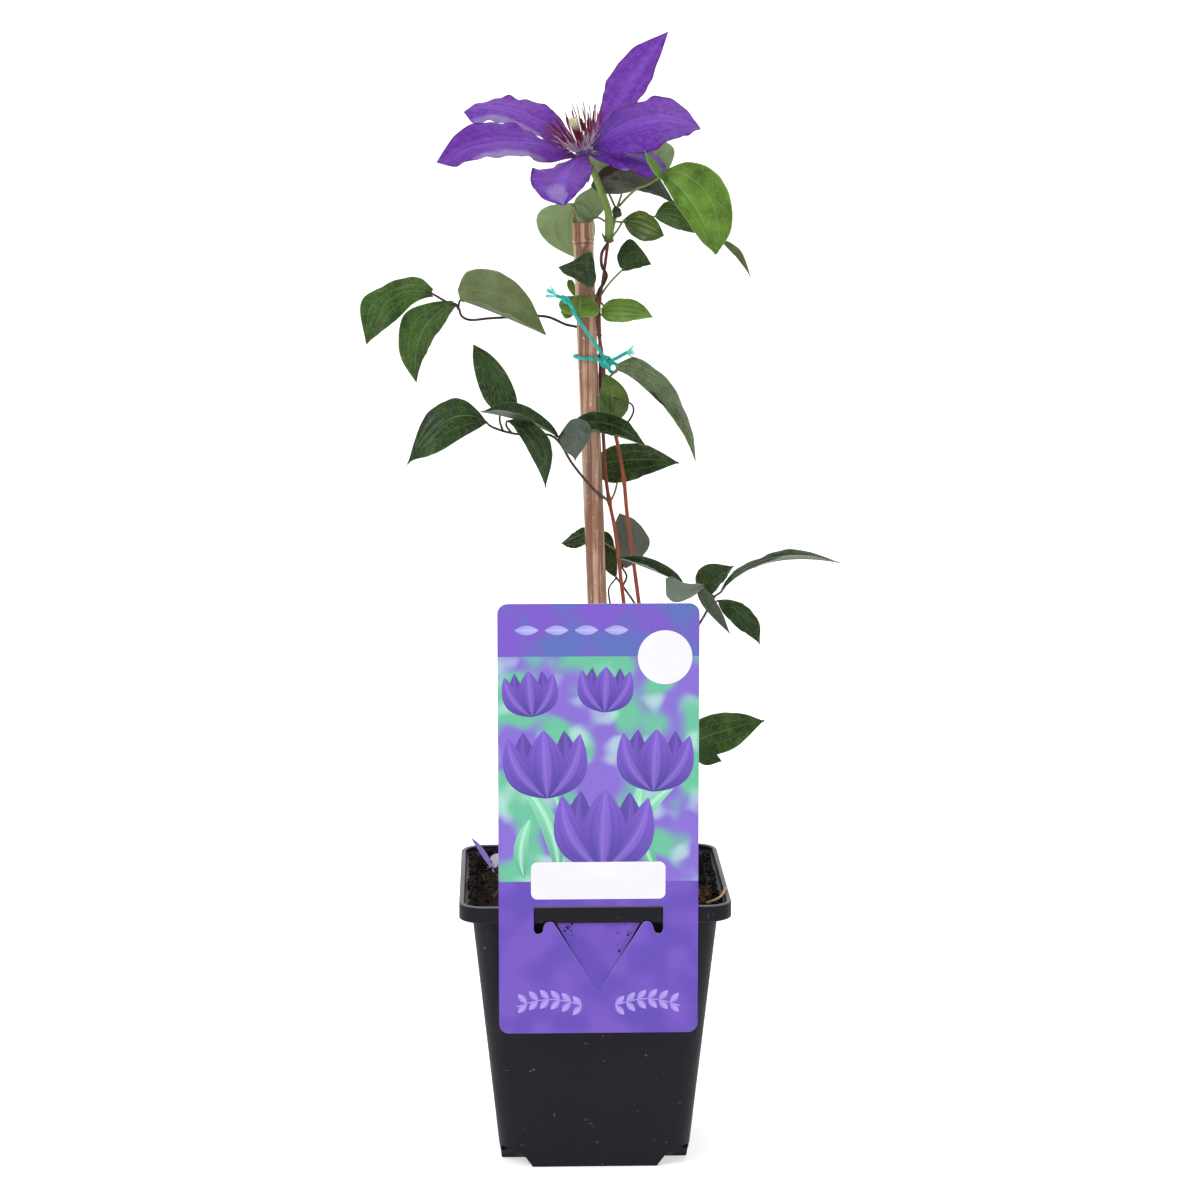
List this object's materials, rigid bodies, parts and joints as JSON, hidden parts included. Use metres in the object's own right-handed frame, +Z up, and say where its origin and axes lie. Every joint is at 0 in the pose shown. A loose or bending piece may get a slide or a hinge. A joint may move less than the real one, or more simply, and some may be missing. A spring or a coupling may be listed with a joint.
{
  "type": "potted clematis plant",
  "caption": "Young large-flowered clematis in a square nursery pot, tied to a bamboo cane, with one open purple flower and a hang-on plant label on the rim.",
  "frame": {"origin": "middle of the pot's flat foot, on the ground", "axes": "+Z up along the plant, -Y towards the label side, +X to the right when the label faces the viewer"},
  "size_m": [0.2286, 0.131, 0.5448],
  "materials": {
    "pot_plastic": "satin black polypropylene",
    "peat": null,
    "bamboo": "weathered bamboo cane",
    "label_card": "printed plastic-coated card",
    "tie_cord": "elastic textile cord",
    "stem": "young woody vine",
    "green_stalk": "fresh stalk; stands in for plant tissue",
    "stamen": "dark anthers on pale filaments",
    "style": "pale tuft",
    "tepal": "thin petal tissue",
    "leaf": "leathery leaf",
    "leaf_young": "soft young leaf",
    "leaf_underside": "pale leaf seen from beneath",
    "dry_litter": "dry straw and leaf"
  },
  "bodies": {
    "root": {"pot": "pot_plastic", "soil": "peat", "cane": "bamboo", "label": "label_card", "tie": "tie_cord", "stem_a": "stem", "stem_b": "stem", "peduncle": "green_stalk", "stamens": "stamen", "styles": "style", "fallen_petal": "tepal", "dry_leaf": "dry_litter", "straw": "dry_litter", "tepal_left": "tepal", "tepal_left_back": "tepal", "tepal_right_back": "tepal", "tepal_right": "tepal", "tepal_right_low": "tepal", "tepal_front": "tepal", "leaf_1": "leaf", "leaf_2": "leaf", "leaf_3": "leaf", "leaf_4": "leaf", "leaf_5": "leaf", "leaf_6": "leaf_underside", "leaf_7": "leaf", "leaf_8": "leaf", "leaf_9": "leaf", "leaf_10": "leaf", "leaf_11": "leaf_young", "leaf_12": "leaf", "leaf_13": "leaf_underside", "leaf_14": "leaf", "leaf_15": "leaf", "leaf_17": "leaf", "leaf_18": "leaf", "leaf_19": "leaf_young", "leaf_20": "leaf_young", "leaf_22": "leaf_underside", "leaf_24": "leaf_young"}
  },
  "joints": []
}
